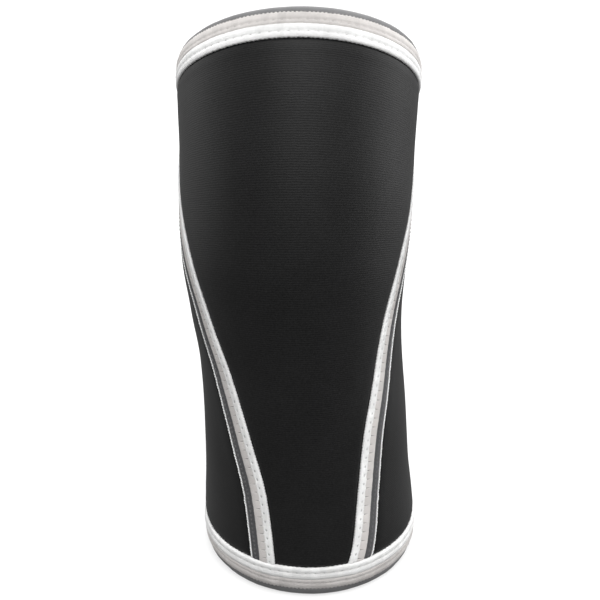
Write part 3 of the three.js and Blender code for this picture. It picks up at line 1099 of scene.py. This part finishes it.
class KNEESLEEVE_OT_side_seams(Operator):
    """Make the white, grey and dark strips and the edge thread of both side seams"""

    bl_idname = "kneesleeve.side_seams"
    bl_label = "Side seam stitching"

    rows = 420
    fine_steps = 2000
    ribbon_rows = 200
    guide_columns = 7
    margin = 1.5 * MM
    tuck = 1.6 * MM
    press_depth = 0.95 * MM
    press_from = -1.3 * MM
    press_to = 0.2 * MM
    white_profile = Profile(
        (-0.3, -0.2), (0.0, 0.1), (0.35, 0.42), (1.3, 0.6), (2.3, 0.55), (3.0, 0.36), (3.6, 0.5), (4.2, 0.3),
        (4.8, 0.0))
    grey_profile = Profile(
        (-1.3, 0.2), (-0.5, 0.28), (0.3, 0.42), (1.5, 0.5), (2.8, 0.48), (3.7, 0.3), (4.2, 0.1), (4.6, -0.2))
    dark_profile = Profile(
        (-0.4, -0.2), (0.0, 0.05), (0.6, 0.2), (1.9, 0.26), (3.2, 0.18), (3.9, 0.0), (4.2, -0.2))
    thread_profile = Profile((-0.4, -0.2), (0.0, 0.0), (0.45, 0.12), (0.9, 0.0), (1.3, -0.2))

    def execute(self, context):
        tube, layout = Tube(), Layout()
        for number, side in enumerate(SIDES):
            self.make_white(tube, layout, side, 31 + number)
            self.make_grey(tube, layout, side, 41 + number)
            self.make_dark(tube, layout, side, 51 + number)
            self.make_thread(tube, layout, side, 61 + number)
        return {"FINISHED"}

    def even_shares(self, tube, layout, side, count):
        """Shares at even distances along the seam, tucked under both rim bands, and the distance."""
        end = (layout.bed_end - self.tuck) / tube.shape.length
        fine = np.linspace(end, 1.0 - end, self.fine_steps + 1)
        run = run_along(tube.point(fine, tube.edge_angle(side, fine), 0.0))
        return np.interp(np.linspace(0.0, run[-1], count), run, fine), run[-1]

    def place_at(self, tube, layout, side, start):
        """Place for a share of the front edge, a distance across the strip and a rise."""
        def place(share, across, rise):
            there, angle = tube.behind_edge(side, share, start + across)
            from_end = np.minimum(there, 1.0 - there) * tube.shape.length - layout.bed_end
            pressed = (1.0 - smoothstep(self.press_from, self.press_to, from_end)) * self.press_depth
            return tube.point(there, angle, rise - pressed)
        return place

    def strip(self, tube, layout, side, name, start, width, profile, material):
        """A strip's base ribbon and the guide that its threads lie on."""
        place = self.place_at(tube, layout, side, start)
        shares, _ = self.even_shares(tube, layout, side, self.ribbon_rows)
        ribbon = ribbon_object(
            f"{side}_{name}_stitching", place, shares, 0.1 * MM, width + 0.1 * MM, profile, material,
            looped=False)
        shares, length = self.even_shares(tube, layout, side, self.rows)
        low, high = -self.margin, width + self.margin
        across = np.linspace(low, high, self.guide_columns)[None, :]
        places = place(shares[:, None], across, 0.0)
        outward = tube.outward(*tube.behind_edge(side, shares[:, None], start + across))
        return ribbon, band_guide(f"{side}_guide", places, outward, length, low, high, 0.0)

    def make_white(self, tube, layout, side, seed):
        seams = settings().seams
        ribbon, guide = self.strip(
            tube, layout, side, "white_strip", 0.0, seams.white_width, self.white_profile, "white_stitching")
        repeats, repeat = repeats_along(guide, seams.dimple_pitch)
        dip = needle_dimple(repeat / 2, across=2.6, depth=0.62, length=0.7, width=0.42)
        threads = []
        for k, x in spread_in(repeat, seams.threads_per_dimple):
            lobe = 0.45 * MM * smoothstep(0.15, 0.95, abs(x - repeat / 2) / (repeat / 2))
            stations = np.array([0.3, 0.44, 0.8, 1.5, 2.2, 2.6, 3.0, 3.5, 3.9, 4.05]) * MM
            stations[:2] -= (0.0, 0.2, 0.06)[k % 3] * MM
            stations[-3:] += lobe * np.array([0.5, 0.9, 1.0])
            threads.append(cross_thread(x, stations, self.white_profile, seams.thread_radius, dip))
        stitch_on(ribbon, guide, threads, repeats, repeat, "white_stitching", seed)
        finish_band(ribbon, guide, side + "_white_strip")

    def make_grey(self, tube, layout, side, seed):
        seams = settings().seams
        ribbon, guide = self.strip(
            tube, layout, side, "grey_strip", layout.seam_grey, seams.grey_width, self.grey_profile,
            "warm_grey_stitching")
        repeats, repeat = repeats_along(guide, seams.dimple_pitch)

        def fan(x, y):
            gather = 0.17 * (1.0 - smoothstep(-1.0 * MM, 3.6 * MM, y))
            return x + (repeat / 2 - x) * gather

        threads = []
        for k, x in spread_in(repeat, seams.threads_per_dimple):
            inner = -0.95 * MM + 0.8 * MM * smoothstep(0.2, 1.0, abs(x - repeat / 2) / (repeat / 2))
            stations = np.concatenate([
                [inner - 0.15 * MM, inner, inner + 0.5 * MM], np.array([0.9, 1.8, 2.8, 3.7, 4.15, 4.3]) * MM])
            stations[-2:] += (0.0, 0.14, 0.05)[k % 3] * MM
            threads.append(cross_thread(x, stations, self.grey_profile, seams.thread_radius * 0.95, x_at=fan))
        stitch_on(ribbon, guide, threads, repeats, repeat, "warm_grey_stitching", seed)
        finish_band(ribbon, guide, side + "_grey_strip")

    def make_dark(self, tube, layout, side, seed):
        seams = settings().seams
        ribbon, guide = self.strip(
            tube, layout, side, "dark_strip", layout.seam_dark, seams.dark_width, self.dark_profile,
            "dark_grey_stitching")
        repeats, repeat = repeats_along(guide, seams.chain_pitch)
        middle = seams.dark_width / 2.0
        stations = np.array([-0.15, 0.0, 0.6, 1.3, 1.9, 2.6, 3.3, 3.8, 3.95]) * MM
        threads = [
            cross_thread(x, stations, self.dark_profile, seams.thread_radius * 0.9)
            for _, x in spread_in(repeat, 5)]
        stitch_on(ribbon, guide, threads, repeats, repeat, "dark_grey_stitching", seed)
        legs = []
        for way in (-1.0, 1.0):
            x = np.array([0.22, 0.34, 0.5, 0.66, 0.78]) * repeat
            y = middle + way * np.array([0.06, 0.14, 0.24, 0.33, 0.36]) * MM
            z = np.array([0.1, 0.48, 0.56, 0.42, 0.1]) * MM
            legs.append(thread(np.stack([x, y, z], axis=1), 0.14 * MM))
        stitch_on(ribbon, guide, legs, repeats - 1, repeat, "chain_stitching", seed + 100)
        finish_band(ribbon, guide, side + "_dark_strip")

    def make_thread(self, tube, layout, side, seed):
        seams = settings().seams
        ribbon, guide = self.strip(
            tube, layout, side, "edge_thread", layout.seam_thread, seams.thread_width, self.thread_profile,
            "white_stitching")
        repeats, repeat = repeats_along(guide, seams.bead_pitch)
        x = np.array([-0.15, 0.1, 0.4, 0.75, 1.0, 1.15]) * repeat
        y = seams.thread_width / 2.0 + np.array([-0.12, -0.2, -0.05, 0.14, 0.2, 0.1]) * MM
        z = np.array([-0.1, 0.12, 0.3, 0.3, 0.1, -0.1]) * MM
        radius = np.array([0.16, 0.27, 0.34, 0.34, 0.26, 0.16]) * MM
        beads = [thread(np.stack([x, y, z], axis=1), radius, sides=5)]
        stitch_on(ribbon, guide, beads, repeats, repeat, "white_stitching", seed, side_wander=0.25 * MM)
        finish_band(ribbon, guide, side + "_edge_thread")


# Stage

class KNEESLEEVE_OT_stage(Operator):
    """Make the floor, the lights and the camera"""

    bl_idname = "kneesleeve.stage"
    bl_label = "Stage"

    floor_size = 80.0
    camera_distance = 0.6
    camera_elevation = math.radians(21.5)
    target_from_lower_rim = (-0.0066, -0.032, 0.1503)
    focal_pixels = 1232.0
    frame_pixels = 600.0
    sensor_width = 36.0

    def execute(self, context):
        self.make_floor()
        self.make_world()
        self.make_lights()
        self.make_camera()
        context.scene.view_settings.view_transform = "Standard"
        return {"FINISHED"}

    def make_floor(self):
        half = self.floor_size / 2.0
        corners = np.array([(-half, -half, 0.0), (half, -half, 0.0), (half, half, 0.0), (-half, half, 0.0)])
        mesh = new_mesh("floor", corners - np.array([0.0, 0.0, 0.3 * MM]), [(0, 1, 2, 3)])
        floor = link(bpy.data.objects.new("floor", mesh))
        material, tree, shader = new_material("pale_floor", 0.9)
        shader.inputs["Emission Color"].default_value = (1.0, 1.0, 1.0, 1.0)
        shader.inputs["Emission Strength"].default_value = 0.62
        place = add_node(tree, "ShaderNodeTexCoord")
        grain = add_node(tree, "ShaderNodeTexNoise", {"Scale": 3.0, "Detail": 2.0})
        tree.links.new(place.outputs["Object"], grain.inputs["Vector"])
        tinted(tree, shader, settings().colours.floor, grain.outputs["Fac"], 0.99, 1.01)
        mesh.materials.append(material)
        floor.visible_diffuse = False
        floor.visible_glossy = False

    def make_world(self):
        world = bpy.data.worlds.new("studio")
        world.use_nodes = True
        background = world.node_tree.nodes["Background"]
        background.inputs["Color"].default_value = (1.0, 1.0, 1.0, 1.0)
        background.inputs["Strength"].default_value = 0.35
        bpy.context.scene.world = world

    def make_lights(self):
        self.soft_sun("front", elevation=61.0, azimuth=8.0, spread=50.0, strength=3.1)
        self.soft_sun("right", elevation=20.0, azimuth=110.0, spread=60.0, strength=2.1)
        self.soft_sun("left", elevation=20.0, azimuth=-115.0, spread=60.0, strength=1.15)
        self.soft_sun("behind", elevation=35.0, azimuth=180.0, spread=50.0, strength=1.5)

    def soft_sun(self, name, elevation, azimuth, spread, strength):
        """Even light from a wide patch of sky; azimuth 0 is in front, 90 on the right."""
        data = bpy.data.lights.new(name, "SUN")
        data.angle = math.radians(spread)
        data.energy = strength
        light = link(bpy.data.objects.new(name, data))
        up, round_about = math.radians(elevation), math.radians(azimuth)
        way = np.array([
            math.cos(up) * math.sin(round_about), -math.cos(up) * math.cos(round_about), math.sin(up)])
        self.turn_to(light, way, np.zeros(3))

    def turn_to(self, obj, place, aim):
        obj.location = place
        obj.rotation_euler = Vector(aim - place).to_track_quat("-Z", "Y").to_euler()

    def make_camera(self):
        tube = Tube()
        target = np.array(self.target_from_lower_rim) + tube.shift
        away = np.array([0.0, -math.cos(self.camera_elevation), math.sin(self.camera_elevation)])
        data = bpy.data.cameras.new("camera")
        data.sensor_fit = "HORIZONTAL"
        data.sensor_width = self.sensor_width
        data.lens = self.sensor_width * self.focal_pixels / self.frame_pixels
        data.clip_start = 0.01
        data.clip_end = 100.0
        camera = link(bpy.data.objects.new("camera", data))
        self.turn_to(camera, target + away * self.camera_distance, target)
        bpy.context.scene.camera = camera


class KNEESLEEVE_PT_panel(Panel):
    """Sizes, colours and makers of the knee sleeve"""

    bl_label = "Knee sleeve"
    bl_idname = "KNEESLEEVE_PT_panel"
    bl_space_type = "VIEW_3D"
    bl_region_type = "UI"
    bl_category = "Knee sleeve"

    def draw(self, context):
        for group in (settings().shape, settings().rims, settings().seams, settings().colours):
            box = self.layout.box()
            for name in group.__annotations__:
                box.prop(group, name)
        for operator in OPERATORS:
            self.layout.operator(operator.bl_idname)


OPERATORS = (
    KNEESLEEVE_OT_stage,
    KNEESLEEVE_OT_panels,
    KNEESLEEVE_OT_lips,
    KNEESLEEVE_OT_rim_bands,
    KNEESLEEVE_OT_side_seams,
)
CLASSES = (
    KneeSleeveShape, KneeSleeveRims, KneeSleeveSeams, KneeSleeveColours, KneeSleeveSettings,
    *OPERATORS, KNEESLEEVE_PT_panel,
)


def register():
    for item in CLASSES:
        bpy.utils.register_class(item)
    bpy.types.Scene.knee_sleeve = PointerProperty(type=KneeSleeveSettings)


def unregister():
    del bpy.types.Scene.knee_sleeve
    for item in reversed(CLASSES):
        bpy.utils.unregister_class(item)


def plain(bounds):
    return [[float(v) for v in corner] for corner in bounds]


def main():
    register()
    bpy.ops.kneesleeve.stage()
    bpy.ops.kneesleeve.panels()
    bpy.ops.kneesleeve.lips()
    bpy.ops.kneesleeve.rim_bands()
    bpy.ops.kneesleeve.side_seams()


if __name__ == "__main__":
    main()
